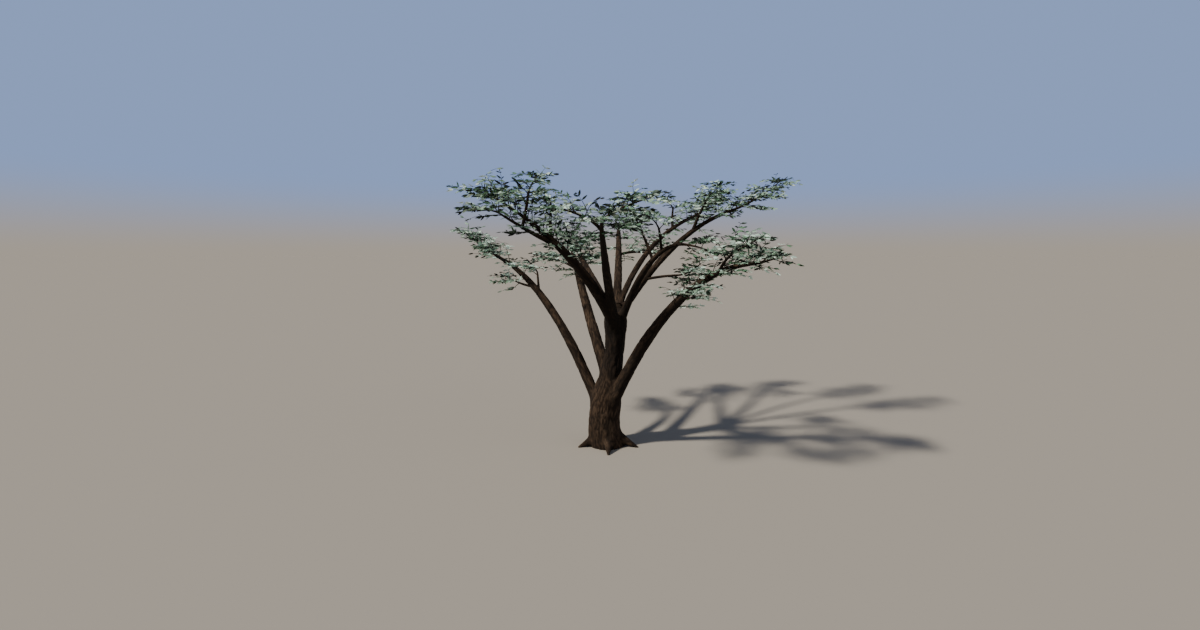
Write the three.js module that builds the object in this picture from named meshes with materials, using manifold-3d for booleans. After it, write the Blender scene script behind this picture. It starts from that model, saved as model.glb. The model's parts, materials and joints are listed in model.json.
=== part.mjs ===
// Olive tree: a thick, slightly leaning trunk on a star of root buttresses, a vase of bare boughs
// and, on every bough and side branch, one open mass of twigs with narrow opposite leaves.
// Millimetres, +Z up. The origin is the middle of the level cut where the trunk meets the ground.
import * as THREE from "three";
import { mergeVertices } from "three/addons/utils/BufferGeometryUtils.js";
import Module from "manifold-3d";

const wasm = await Module();
wasm.setup();

// Driving dimensions: millimetres, degrees, and shares of a length from 0 to 1
const JOINT_GAP = 0.3; // clear space between two neighbouring solids
const WELD = 1e-4; // corners closer than this are one
const GROUND_CUT = { width: 1600, depth: 300 };

// The trunk's middle line is a cubic curve. Its girth is given as [share of the line, radius].
const TRUNK = {
  line: [[-6, 0, -60], [-185, 0, 700], [170, 0, 1100], [105, 0, 2050]],
  girth: [[0, 268], [0.1, 250], [0.24, 238], [0.35, 236], [0.44, 206], [0.53, 170],
    [0.69, 144], [0.83, 154], [0.94, 176], [1, 150]],
  sides: 16,
  rings: 14,
};

// Five buttresses stand round the foot and run out into the ground.
const ROOTS = {
  count: 5, firstAzimuth: -90, reach: 479, thick: 210, thin: 28,
  innerReach: 110, innerHeight: 150, bendReach: 300, bendHeight: 80, sides: 6, rings: 4,
};

// Each limb is one quadratic curve from a share of its parent's line. Its tip lies `reach` out
// and `climb` up from there, and its middle is lifted by `rise` and pushed aside by `sway`.
// `thick` and `thin` are its diameters, and `leafy` is the heading of the mass at its tip.
const BOUGHS = [
  { name: "left_low", from: "trunk", at: 0.215, azimuth: 151, reach: 1905, climb: 2443,
    rise: 733, sway: -119, thick: 168, thin: 64, leafy: { azimuth: 173, slope: 35, reach: 800 } },
  { name: "right_low", from: "trunk", at: 0.2, azimuth: -33, reach: 2195, climb: 2442,
    rise: 1104, sway: -146, thick: 190, thin: 52, leafy: { azimuth: -44, slope: 12, reach: 360 } },
  { name: "back_left", from: "trunk", at: 0.532, azimuth: 108, reach: 1994, climb: 1878,
    rise: 85, sway: 64, thick: 184, thin: 92, leafy: { azimuth: 122, slope: 60, reach: 700 } },
  { name: "front_right", from: "trunk", at: 0.84, azimuth: -41, reach: 1225, climb: 1425,
    rise: 800, sway: -90, thick: 118, thin: 36, leafy: { azimuth: -35, slope: -14, reach: 360 } },
  { name: "front_left", from: "trunk", at: 0.905, azimuth: -131, reach: 1731, climb: 1556,
    rise: 135, sway: 330, thick: 165, thin: 52, leafy: { azimuth: -168, slope: 33, reach: 680 } },
  { name: "right", from: "trunk", at: 0.946, azimuth: 17, reach: 1904, climb: 1708,
    rise: 520, sway: 192, thick: 112, thin: 46, leafy: { azimuth: 11, slope: 30, reach: 980 } },
  { name: "front", from: "trunk", at: 0.897, azimuth: -97, reach: 1813, climb: 1479,
    rise: 288, sway: -69, thick: 140, thin: 48, leafy: { azimuth: -24, slope: 27, reach: 650 } },
  { name: "back", from: "trunk", at: 0.944, azimuth: 87, reach: 2002, climb: 1445,
    rise: 161, sway: -41, thick: 142, thin: 76, leafy: { azimuth: 41, slope: 26, reach: 760 } },
  { name: "back_right", from: "trunk", at: 0.975, azimuth: 47, reach: 1909, climb: 1558,
    rise: 350, sway: 350, thick: 96, thin: 56, leafy: { azimuth: 41, slope: 31, reach: 930 } },
  { name: "back_inner", from: "trunk", at: 0.946, azimuth: 110, reach: 1720, climb: 985,
    rise: 64, sway: 22, thick: 146, thin: 88, leafy: { azimuth: 71, slope: 40, reach: 600 } },
];
const BRANCHES = [
  { name: "front_left_lower", from: "front_left", at: 0.76, azimuth: -131, reach: 944, climb: 368,
    rise: -35, sway: 17, thick: 62, thin: 24, leafy: { azimuth: -140, slope: 3, reach: 300 } },
  { name: "front_left_middle", from: "front_left_lower", at: 0.66, azimuth: -40, reach: 110, climb: 365,
    rise: 0, sway: 20, thick: 44, thin: 30, leafy: { azimuth: 40, slope: 60, reach: 260 } },
  { name: "front_left_inner", from: "front_left", at: 0.82, azimuth: 95, reach: 42, climb: 400,
    rise: 0, sway: 30, thick: 48, thin: 34, leafy: { azimuth: 150, slope: 70, reach: 120 } },
  { name: "left_low_upper", from: "left_low", at: 0.65, azimuth: 106, reach: 129, climb: 310,
    rise: 20, sway: 0, thick: 44, thin: 30, leafy: { azimuth: -160, slope: 35, reach: 210 } },
  { name: "left_low_outer", from: "left_low", at: 0.7, azimuth: 145, reach: 400, climb: 75,
    rise: -30, sway: 0, thick: 44, thin: 28, leafy: { azimuth: 166, slope: 13, reach: 200 } },
  { name: "back_left_outer", from: "back_left", at: 0.88, azimuth: 161, reach: 297, climb: 144,
    rise: 30, sway: 0, thick: 54, thin: 34, leafy: { azimuth: 180, slope: 14, reach: 340 } },
  { name: "front_outer", from: "front", at: 0.95, azimuth: -135, reach: 240, climb: 130,
    rise: 30, sway: 0, thick: 46, thin: 32, leafy: { azimuth: -169, slope: 20, reach: 280 } },
  { name: "back_lower", from: "back", at: 0.66, azimuth: 47, reach: 597, climb: 43,
    rise: 40, sway: 0, thick: 50, thin: 30, leafy: { azimuth: 6, slope: 13, reach: 400 } },
  { name: "back_right_upper", from: "back_right", at: 0.83, azimuth: 89, reach: 30, climb: 290,
    rise: 0, sway: 20, thick: 50, thin: 34, leafy: { azimuth: -142, slope: 42, reach: 230 } },
  { name: "front_right_inner", from: "front_right", at: 0.58, azimuth: 157, reach: 161, climb: 385,
    rise: 30, sway: 0, thick: 46, thin: 32, leafy: { azimuth: 135, slope: 60, reach: 310 } },
  { name: "front_right_upper", from: "front_right", at: 0.7, azimuth: -109, reach: 168, climb: 277,
    rise: 30, sway: 0, thick: 44, thin: 32, leafy: { azimuth: -135, slope: 46, reach: 200 } },
  { name: "right_upper", from: "right", at: 0.68, azimuth: -21, reach: 165, climb: 384,
    rise: 30, sway: 0, thick: 54, thin: 36, leafy: { azimuth: -21, slope: 51, reach: 340 } },
  { name: "right_lower", from: "right", at: 0.26, azimuth: -18, reach: 510, climb: 70,
    rise: 20, sway: 0, thick: 46, thin: 30, leafy: { azimuth: -23, slope: 27, reach: 390 } },
  { name: "right_low_upper", from: "right_low", at: 0.82, azimuth: -71, reach: 225, climb: 197,
    rise: 30, sway: 0, thick: 46, thin: 32, leafy: { azimuth: -25, slope: 32, reach: 390 } },
  { name: "right_low_under", from: "right_low", at: 0.58, azimuth: -60, reach: 130, climb: 30,
    rise: 20, sway: 0, thick: 40, thin: 28, leafy: { azimuth: -49, slope: 8, reach: 130 } },
];
const LIMB = {
  boughSides: 8, boughRings: 8, branchSides: 6, branchRings: 3,
  taper: 2, collar: 0.22, collarShare: 0.16,
};

// One rule grows every mass: a stem that bends from its limb's heading to its own, twigs that
// leave it to alternate sides, and leaves in opposite pairs along each twig.
// A leaf here stands for a whole spray, so it is larger than life. The spreads are full ranges,
// and `roll` is the turn round the parent from straight up.
const STEM = { bend: 0.45, fit: 0.96, thin: 26, leafShare: 0.98, sides: 4, rings: 3 };
const TWIG = {
  spacing: 92, first: 0.1, last: 0.95, fork: 58, forkSpread: 30, roll: 82, rollSpread: 90,
  share: 0.9, longest: 410, shortest: 230, lengthSpread: 0.3, tipShare: 0.5, upShare: 0.45,
  thick: 20, thin: 13, leafShare: 0.97, sides: 3, rings: 1,
};
const LEAF = {
  spacing: 116, first: 0.28, last: 0.9, fork: 56, forkSpread: 30, roll: 80, rollSpread: 40,
  endFork: 26, level: 0.35, tilt: 90, apart: 70,
  length: 215, lengthSpread: 0.35, halfWidth: 0.13, halfThickness: 0.026, widest: 0.45, sunk: 3,
};
const SPACE = { limbClear: 14, massClear: 10, samples: 16 };
const SEED = { first: 4100, step: 97 };

const BARK = new THREE.MeshStandardMaterial({ color: "#54463a", roughness: 0.92, metalness: 0 });
const FOLIAGE = new THREE.MeshStandardMaterial({ color: "#5f7a58", roughness: 0.55, metalness: 0 });

const UP = new THREE.Vector3(0, 0, 1);

function heading(azimuth, slope) {
  const a = THREE.MathUtils.degToRad(azimuth);
  const s = THREE.MathUtils.degToRad(slope);
  return new THREE.Vector3(Math.cos(a) * Math.cos(s), Math.sin(a) * Math.cos(s), Math.sin(s));
}

// Random numbers from 0 to 1 that repeat for a seed
function seededRandom(seed) {
  let state = seed >>> 0;
  return () => {
    state = (Math.imul(state, 1664525) + 1013904223) >>> 0;
    return state / 4294967296;
  };
}

// A closed three.js geometry as a solid that can be joined and cut
function solidOf(geometry) {
  geometry.deleteAttribute("normal");
  geometry.deleteAttribute("uv");
  const merged = mergeVertices(geometry, WELD);
  return new wasm.Manifold(new wasm.Mesh({
    numProp: 3,
    vertProperties: new Float32Array(merged.attributes.position.array),
    triVerts: new Uint32Array(merged.index.array),
  }));
}

function geometryOf(solid) {
  const mesh = solid.getMesh();
  const geometry = new THREE.BufferGeometry();
  geometry.setAttribute("position", new THREE.BufferAttribute(mesh.vertProperties, 3));
  geometry.setIndex(new THREE.BufferAttribute(mesh.triVerts, 1));
  geometry.computeVertexNormals();
  return geometry;
}

// The largest body of a cut or joined solid: loose scraps are dropped
function mainBody(solid) {
  const bodies = solid.decompose();
  return bodies.reduce((best, body) => (body.volume() > best.volume() ? body : best));
}

// A cylinder bent along a curve, with its radius set by the share of the curve's length.
// `grown` makes it that much larger all over, so that what it cuts stands clear of it.
function taperedTube(line, radiusAt, sides, rings, grown = 0) {
  const tube = new THREE.CylinderGeometry(1, 1, 1, sides, rings);
  const frames = line.computeFrenetFrames(rings);
  const position = tube.attributes.position;
  for (let i = 0; i < position.count; i++) {
    const ring = Math.round((position.getY(i) + 0.5) * rings);
    const radius = radiusAt(ring / rings) + grown;
    const point = line.getPointAt(ring / rings);
    const overrun = { 0: -grown, [rings]: grown }[ring] ?? 0;
    point.addScaledVector(frames.tangents[ring], overrun);
    point.addScaledVector(frames.normals[ring], radius * position.getX(i));
    point.addScaledVector(frames.binormals[ring], -radius * position.getZ(i));
    position.setXYZ(i, point.x, point.y, point.z);
  }
  return solidOf(tube);
}

function trunkRadius(share) {
  const points = TRUNK.girth.map(([at, radius]) => new THREE.Vector2(at, radius));
  const next = Math.max(1, points.findIndex((point) => point.x >= share));
  const [low, high] = [points[next - 1], points[next]];
  return THREE.MathUtils.mapLinear(share, low.x, high.x, low.y, high.y);
}

function limbRadius(limb, share) {
  const taper = THREE.MathUtils.lerp(limb.thick, limb.thin, share ** LIMB.taper) / 2;
  return taper * (1 + LIMB.collar * Math.max(0, 1 - share / LIMB.collarShare) ** 2);
}

const trunkLine = new THREE.CubicBezierCurve3(...TRUNK.line.map((p) => new THREE.Vector3(...p)));

// A limb's curve, worked out from its place on its parent
function limbLine(limb, parentLine) {
  const start = parentLine.getPoint(limb.at);
  const out = heading(limb.azimuth, 0);
  const tip = start.clone().addScaledVector(out, limb.reach).addScaledVector(UP, limb.climb);
  const side = new THREE.Vector3().crossVectors(UP, out);
  const middle = start.clone().lerp(tip, 0.5)
    .addScaledVector(UP, limb.rise)
    .addScaledVector(side, limb.sway);
  return new THREE.QuadraticBezierCurve3(start, middle, tip);
}

function rootLine(azimuth) {
  const out = heading(azimuth, 0);
  const point = (reach, height) => out.clone().multiplyScalar(reach).addScaledVector(UP, height);
  return new THREE.QuadraticBezierCurve3(
    point(ROOTS.innerReach, ROOTS.innerHeight),
    point(ROOTS.bendReach, ROOTS.bendHeight),
    point(ROOTS.reach, 0),
  );
}

// The trunk and its root buttresses, cut level at the ground
function makeTrunk() {
  let trunk = taperedTube(trunkLine, trunkRadius, TRUNK.sides, TRUNK.rings);
  for (let i = 0; i < ROOTS.count; i++) {
    const line = rootLine(ROOTS.firstAzimuth + (360 / ROOTS.count) * i);
    const radiusAt = (share) => THREE.MathUtils.lerp(ROOTS.thick, ROOTS.thin, share) / 2;
    trunk = trunk.add(taperedTube(line, radiusAt, ROOTS.sides, ROOTS.rings));
  }
  const ground = new THREE.BoxGeometry(GROUND_CUT.width, GROUND_CUT.width, GROUND_CUT.depth)
    .translate(0, 0, -GROUND_CUT.depth / 2);
  return mainBody(trunk.subtract(solidOf(ground)));
}

// All limbs with their curves, parents first
const lines = new Map([["trunk", trunkLine]]);
const limbs = [...BOUGHS, ...BRANCHES].map((limb) => {
  const line = limbLine(limb, lines.get(limb.from));
  lines.set(limb.name, line);
  const main = limb.from === "trunk";
  return { ...limb, line, main };
});

function limbTube(limb, grown) {
  const sides = limb.main ? LIMB.boughSides : LIMB.branchSides;
  const rings = limb.main ? LIMB.boughRings : LIMB.branchRings;
  return taperedTube(limb.line, (share) => limbRadius(limb, share), sides, rings, grown);
}

// Each limb is fitted to the trunk and to the limbs before it, with the joint gap all round.
function makeLimbs() {
  const grownTrunk = taperedTube(trunkLine, trunkRadius, TRUNK.sides, TRUNK.rings, JOINT_GAP);
  const cutters = [grownTrunk];
  return limbs.map((limb) => {
    const fitted = cutters.reduce((solid, cutter) => solid.subtract(cutter), limbTube(limb, 0));
    cutters.push(limbTube(limb, JOINT_GAP));
    return mainBody(fitted);
  });
}

// A mass's stem leaves its limb's tip along the limb's heading and bends to its own.
function stemLine(limb) {
  const along = limb.line.getTangent(1);
  const start = limb.line.getPoint(1).addScaledVector(along, JOINT_GAP);
  const middle = start.clone().addScaledVector(along, limb.leafy.reach * STEM.bend);
  const tip = start.clone()
    .addScaledVector(heading(limb.leafy.azimuth, limb.leafy.slope), limb.leafy.reach);
  return new THREE.QuadraticBezierCurve3(start, middle, tip);
}

// Points along every stem and limb, which share the crown's space out among the masses
const stems = limbs.map(stemLine);
const stemPoints = stems.map((line) => line.getPoints(SPACE.samples));
const limbPoints = limbs.map((limb) => {
  const points = limb.line.getPoints(SPACE.samples * 2);
  return points.map((point, i) => ({ point, radius: limbRadius(limb, i / (points.length - 1)) }));
});

function distanceTo(points, place) {
  return Math.min(...points.map((point) => point.distanceTo(place)));
}

// A place belongs to a mass if its stem is the nearest one and no limb is in the way.
function inSpace(owner, place) {
  const own = distanceTo(stemPoints[owner], place);
  const nearer = stemPoints.some(
    (points, i) => i !== owner && distanceTo(points, place) < own + SPACE.massClear,
  );
  const blocked = limbPoints.some((points) => points.some(
    ({ point, radius }) => point.distanceTo(place) < radius + SPACE.limbClear,
  ));
  return !nearer && !blocked;
}

// The sideways and upward directions across a heading
function acrossOf(along) {
  const side = new THREE.Vector3().crossVectors(along, UP).normalize();
  const over = new THREE.Vector3().crossVectors(side, along).normalize();
  return { side, over };
}

function forked(along, fork, roll) {
  const { side, over } = acrossOf(along);
  const f = THREE.MathUtils.degToRad(fork);
  const r = THREE.MathUtils.degToRad(roll);
  const across = over.multiplyScalar(Math.cos(r)).addScaledVector(side, Math.sin(r));
  return along.clone().multiplyScalar(Math.cos(f)).addScaledVector(across, Math.sin(f)).normalize();
}

function spread(random, middle, range) {
  return middle + (random() - 0.5) * range;
}

// A twig to one side of the stem, the longer the more level it lies
function twigLine(stem, share, hand, reach, random) {
  const start = stem.getPoint(share);
  const fork = spread(random, TWIG.fork, TWIG.forkSpread);
  const roll = hand * spread(random, TWIG.roll, TWIG.rollSpread);
  const along = forked(stem.getTangent(share), fork, roll);
  const longest = THREE.MathUtils.clamp(TWIG.share * reach, TWIG.shortest, TWIG.longest);
  const length = longest * THREE.MathUtils.lerp(1, TWIG.tipShare, share)
    * THREE.MathUtils.lerp(1, TWIG.upShare, Math.abs(along.z))
    * spread(random, 1, TWIG.lengthSpread);
  return new THREE.LineCurve3(start, start.clone().addScaledVector(along, length));
}

// One leaf: where it leaves its twig, which way it points and the way its face looks
function leafAt(line, share, fork, roll, random) {
  const along = forked(line.getTangent(share), fork, roll);
  along.setZ(along.z * LEAF.level).normalize();
  const tilt = THREE.MathUtils.degToRad(spread(random, 0, LEAF.tilt));
  const face = acrossOf(along).over.applyAxisAngle(along, tilt);
  const length = LEAF.length * spread(random, 1, LEAF.lengthSpread);
  return { root: line.getPoint(share), along, face, length };
}

function leafCorners({ root, along, face, length }) {
  const side = new THREE.Vector3().crossVectors(along, face);
  const place = (out, across, over) => root.clone()
    .addScaledVector(along, out)
    .addScaledVector(side, across)
    .addScaledVector(face, over);
  const widest = length * LEAF.widest;
  const half = length * LEAF.halfWidth;
  const thick = length * LEAF.halfThickness;
  return {
    root: place(-LEAF.sunk, 0, 0),
    tip: place(length, 0, 0),
    left: place(widest, -half, 0),
    right: place(widest, half, 0),
    top: place(widest, 0, thick),
    bottom: place(widest, 0, -thick),
  };
}

function leafFits(owner, leaf) {
  const { tip, left, right, top } = leafCorners(leaf);
  const nearRoot = leaf.root.clone().lerp(top, 0.5);
  return [tip, left, right, top, nearRoot].every((corner) => inSpace(owner, corner));
}

function leafMiddle({ root, along, length }) {
  return root.clone().addScaledVector(along, length / 2);
}

// Leaves that would lie on one another are thinned out.
function standsApart(leaf, others) {
  const middle = leafMiddle(leaf);
  return others.every((other) => leafMiddle(other).distanceTo(middle) > LEAF.apart);
}

// The leaf at a twig's end and the pairs along it
function leavesOn(twig, random) {
  const nodes = Math.max(1, Math.round(((1 - LEAF.first) * twig.getLength()) / LEAF.spacing));
  const endRoll = spread(random, 0, 360);
  const leaves = [leafAt(twig, TWIG.leafShare, LEAF.endFork, endRoll, random)];
  for (let i = 0; i < nodes; i++) {
    const share = THREE.MathUtils.lerp(LEAF.first, LEAF.last, (i + 0.5) / nodes);
    for (const hand of [-1, 1]) {
      const fork = spread(random, LEAF.fork, LEAF.forkSpread);
      const roll = hand * spread(random, LEAF.roll, LEAF.rollSpread);
      leaves.push(leafAt(twig, share, fork, roll, random));
    }
  }
  return leaves;
}

// The twigs and leaves of one mass
function growMass(owner) {
  const random = seededRandom(SEED.first + SEED.step * owner);
  const stem = stems[owner];
  const reach = limbs[owner].leafy.reach;
  const count = Math.max(2, Math.round(reach / TWIG.spacing));
  const twigs = [];
  const leaves = [];
  const keep = (leaf) => {
    if (leafFits(owner, leaf) && standsApart(leaf, leaves)) leaves.push(leaf);
  };
  keep(leafAt(stem, STEM.leafShare, 0, 0, random));
  for (let i = 0; i < count; i++) {
    const share = THREE.MathUtils.lerp(TWIG.first, TWIG.last, i / (count - 1));
    const twig = twigLine(stem, share, i % 2 ? 1 : -1, reach, random);
    const grown = leavesOn(twig, random);
    if (![0.5, 1].every((end) => inSpace(owner, twig.getPoint(end)))) continue;
    twigs.push(twig);
    grown.forEach(keep);
  }
  return { stem, twigs, leaves };
}

function leafSolid(leaf) {
  const corners = leafCorners(leaf);
  const names = ["root", "left", "top", "right", "bottom", "tip"];
  const faces = [0, 2, 1, 0, 3, 2, 0, 4, 3, 0, 1, 4, 5, 1, 2, 5, 2, 3, 5, 3, 4, 5, 4, 1];
  const geometry = new THREE.BufferGeometry()
    .setFromPoints(names.map((name) => corners[name]))
    .setIndex(faces);
  return solidOf(geometry);
}

function makeMass(owner) {
  const { stem, twigs, leaves } = growMass(owner);
  const stemThick = limbs[owner].thin * STEM.fit;
  const stemRadius = (share) => THREE.MathUtils.lerp(stemThick, STEM.thin, share) / 2;
  const twigRadius = (share) => THREE.MathUtils.lerp(TWIG.thick, TWIG.thin, share) / 2;
  const pieces = [
    taperedTube(stem, stemRadius, STEM.sides, STEM.rings),
    ...twigs.map((line) => taperedTube(line, twigRadius, TWIG.sides, TWIG.rings)),
    ...leaves.map(leafSolid),
  ];
  return mainBody(wasm.Manifold.union(pieces));
}

function node(name, solid, material) {
  const mesh = new THREE.Mesh(geometryOf(solid), material.clone());
  mesh.name = name;
  return mesh;
}

const tree = new THREE.Group();
tree.name = "olive_tree";
tree.add(node("trunk", makeTrunk(), BARK));
makeLimbs().forEach((solid, i) => {
  const kind = limbs[i].main ? "bough" : "branch";
  tree.add(node(`${kind}_${limbs[i].name}`, solid, BARK));
});
limbs.forEach((limb, i) => tree.add(node(`foliage_${limb.name}`, makeMass(i), FOLIAGE)));

export default tree;
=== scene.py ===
"""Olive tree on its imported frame: one barked skin over the trunk and boughs, bark on the branches
and stems that grow on from them, and twigs, shoots and leaves by the rule that grew the solids."""
import functools
import json
import math
from typing import NamedTuple

import bpy
import numpy as np
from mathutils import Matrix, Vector, noise

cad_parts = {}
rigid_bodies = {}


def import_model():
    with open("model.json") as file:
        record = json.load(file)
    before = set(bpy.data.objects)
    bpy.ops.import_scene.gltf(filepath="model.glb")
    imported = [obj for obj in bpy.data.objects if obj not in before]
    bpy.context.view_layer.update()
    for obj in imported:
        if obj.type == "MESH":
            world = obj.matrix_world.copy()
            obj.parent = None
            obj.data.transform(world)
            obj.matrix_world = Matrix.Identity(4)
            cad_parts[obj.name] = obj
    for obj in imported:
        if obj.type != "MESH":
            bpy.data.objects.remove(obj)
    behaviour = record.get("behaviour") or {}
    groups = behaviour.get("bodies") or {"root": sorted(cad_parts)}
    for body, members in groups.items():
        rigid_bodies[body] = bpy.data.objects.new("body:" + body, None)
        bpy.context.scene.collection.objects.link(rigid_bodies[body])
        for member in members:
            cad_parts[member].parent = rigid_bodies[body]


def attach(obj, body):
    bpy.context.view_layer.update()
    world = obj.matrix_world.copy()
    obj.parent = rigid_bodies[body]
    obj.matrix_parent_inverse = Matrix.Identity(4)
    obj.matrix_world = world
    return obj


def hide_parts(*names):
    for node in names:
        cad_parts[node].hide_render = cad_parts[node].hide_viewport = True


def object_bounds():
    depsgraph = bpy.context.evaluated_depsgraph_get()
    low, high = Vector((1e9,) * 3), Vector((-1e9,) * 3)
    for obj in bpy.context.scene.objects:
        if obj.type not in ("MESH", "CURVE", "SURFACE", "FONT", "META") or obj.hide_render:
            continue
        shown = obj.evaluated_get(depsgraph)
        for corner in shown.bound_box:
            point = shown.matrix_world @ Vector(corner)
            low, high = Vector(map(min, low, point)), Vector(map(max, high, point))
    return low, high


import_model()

bl_info = {
    "name": "Olive tree",
    "version": (1, 0, 0),
    "blender": (4, 5, 0),
    "location": "3D View > Sidebar > Olive tree",
    "description": "Grows the bark, twigs and leaves of an olive tree on its solid limbs",
    "category": "Add Mesh",
}

CAD_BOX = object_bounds()
MM = 0.001
UP = np.array((0.0, 0.0, 1.0))

# The trunk's middle line and its girth as (share of the line, radius), in millimetres
TRUNK_LINE = ((-6, 0, -60), (-185, 0, 700), (170, 0, 1100), (105, 0, 2050))
TRUNK_GIRTH = ((0, 268), (0.1, 250), (0.24, 238), (0.35, 236), (0.44, 206), (0.53, 170),
               (0.69, 144), (0.83, 154), (0.94, 176), (1, 150))

# Root buttresses: how far out and how high each one's line runs, in millimetres
ROOT_COUNT = 5
ROOT_FIRST_AZIMUTH = -90
ROOT_LINE = ((110, 150), (300, 80), (479, 0))
ROOT_THICK, ROOT_THIN = 210, 28


class Limb(NamedTuple):
    """A limb as the solids have it, in millimetres, degrees and shares of its parent's line."""
    parent: str
    at: float
    azimuth: float
    reach: float
    climb: float
    rise: float
    sway: float
    thick: float
    thin: float
    leafy_azimuth: float
    leafy_slope: float
    leafy_reach: float


BOUGHS = {
    "left_low": Limb("trunk", 0.215, 151, 1905, 2443, 733, -119, 168, 64, 173, 35, 800),
    "right_low": Limb("trunk", 0.2, -33, 2195, 2442, 1104, -146, 190, 52, -44, 12, 360),
    "back_left": Limb("trunk", 0.532, 108, 1994, 1878, 85, 64, 184, 92, 122, 60, 700),
    "front_right": Limb("trunk", 0.84, -41, 1225, 1425, 800, -90, 118, 36, -35, -14, 360),
    "front_left": Limb("trunk", 0.905, -131, 1731, 1556, 135, 330, 165, 52, -168, 33, 680),
    "right": Limb("trunk", 0.946, 17, 1904, 1708, 520, 192, 112, 46, 11, 30, 980),
    "front": Limb("trunk", 0.897, -97, 1813, 1479, 288, -69, 140, 48, -24, 27, 650),
    "back": Limb("trunk", 0.944, 87, 2002, 1445, 161, -41, 142, 76, 41, 26, 760),
    "back_right": Limb("trunk", 0.975, 47, 1909, 1558, 350, 350, 96, 56, 41, 31, 930),
    "back_inner": Limb("trunk", 0.946, 110, 1720, 985, 64, 22, 146, 88, 71, 40, 600),
}
BRANCHES = {
    "front_left_lower": Limb("front_left", 0.76, -131, 944, 368, -35, 17, 62, 24, -140, 3, 300),
    "front_left_middle": Limb("front_left_lower", 0.66, -40, 110, 365, 0, 20, 44, 30, 40, 60, 260),
    "front_left_inner": Limb("front_left", 0.82, 95, 42, 400, 0, 30, 48, 34, 150, 70, 120),
    "left_low_upper": Limb("left_low", 0.65, 106, 129, 310, 20, 0, 44, 30, -160, 35, 210),
    "left_low_outer": Limb("left_low", 0.7, 145, 400, 75, -30, 0, 44, 28, 166, 13, 200),
    "back_left_outer": Limb("back_left", 0.88, 161, 297, 144, 30, 0, 54, 34, 180, 14, 340),
    "front_outer": Limb("front", 0.95, -135, 240, 130, 30, 0, 46, 32, -169, 20, 280),
    "back_lower": Limb("back", 0.66, 47, 597, 43, 40, 0, 50, 30, 6, 13, 400),
    "back_right_upper": Limb("back_right", 0.83, 89, 30, 290, 0, 20, 50, 34, -142, 42, 230),
    "front_right_inner": Limb("front_right", 0.58, 157, 161, 385, 30, 0, 46, 32, 135, 60, 310),
    "front_right_upper": Limb("front_right", 0.7, -109, 168, 277, 30, 0, 44, 32, -135, 46, 200),
    "right_upper": Limb("right", 0.68, -21, 165, 384, 30, 0, 54, 36, -21, 51, 340),
    "right_lower": Limb("right", 0.26, -18, 510, 70, 20, 0, 46, 30, -23, 27, 390),
    "right_low_upper": Limb("right_low", 0.82, -71, 225, 197, 30, 0, 46, 32, -25, 32, 390),
    "right_low_under": Limb("right_low", 0.58, -60, 130, 30, 20, 0, 40, 28, -49, 8, 130),
}
LIMBS = {**BOUGHS, **BRANCHES}
LIMB_TAPER, LIMB_COLLAR, COLLAR_SHARE = 2, 0.22, 0.16

# The rule that grew the solids' masses, in millimetres, degrees and shares
JOINT_GAP = 0.3
STEM_BEND, STEM_FIT, STEM_LEAF_SHARE = 0.45, 0.96, 0.98
TWIG = {
    "spacing": 92, "first": 0.1, "last": 0.95, "fork": 58, "fork_spread": 30, "roll": 82,
    "roll_spread": 90, "share": 0.9, "longest": 410, "shortest": 230, "length_spread": 0.3,
    "tip_share": 0.5, "up_share": 0.45, "leaf_share": 0.97,
}
SPRAY = {
    "spacing": 116, "first": 0.28, "last": 0.9, "fork": 56, "fork_spread": 30, "roll": 80,
    "roll_spread": 40, "end_fork": 26, "level": 0.35, "tilt": 90, "length": 215,
    "length_spread": 0.35,
}
LIMB_CLEAR, MASS_CLEAR, SPACE_SAMPLES = 14, 10, 16
OVERREACH = 60  # how far fine growth may leave the box of the solids
SEED_FIRST, SEED_STEP = 4100, 97

# Finer growth by the same rule: more twigs, spread evenly round the stems and the leafy outer part
# of the limbs, and more shoots on all of them. The lengths are at the inner end, the fullest place
# and the tip.
FINE_SEED = 700
FINE_TWIG = {
    "spacing": 90, "first": 0.04, "last": 0.98, "roll_turn": 0.618, "roll_spread": 24,
    "fullest": 0.35, "lengths": (0.85, 1.2, 0.55),
}
FINE_SHOOT_SPACING, FINE_SHOOT_LENGTH = 110, 160


class Leafy(NamedTuple):
    """A limb's finer twigs: where they start, how close they stand, their length, how much of it
    upright ones keep, and how far round the limb they go from straight up."""
    start: float
    density: float
    length: float
    lift: float
    roll: float = 135


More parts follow.
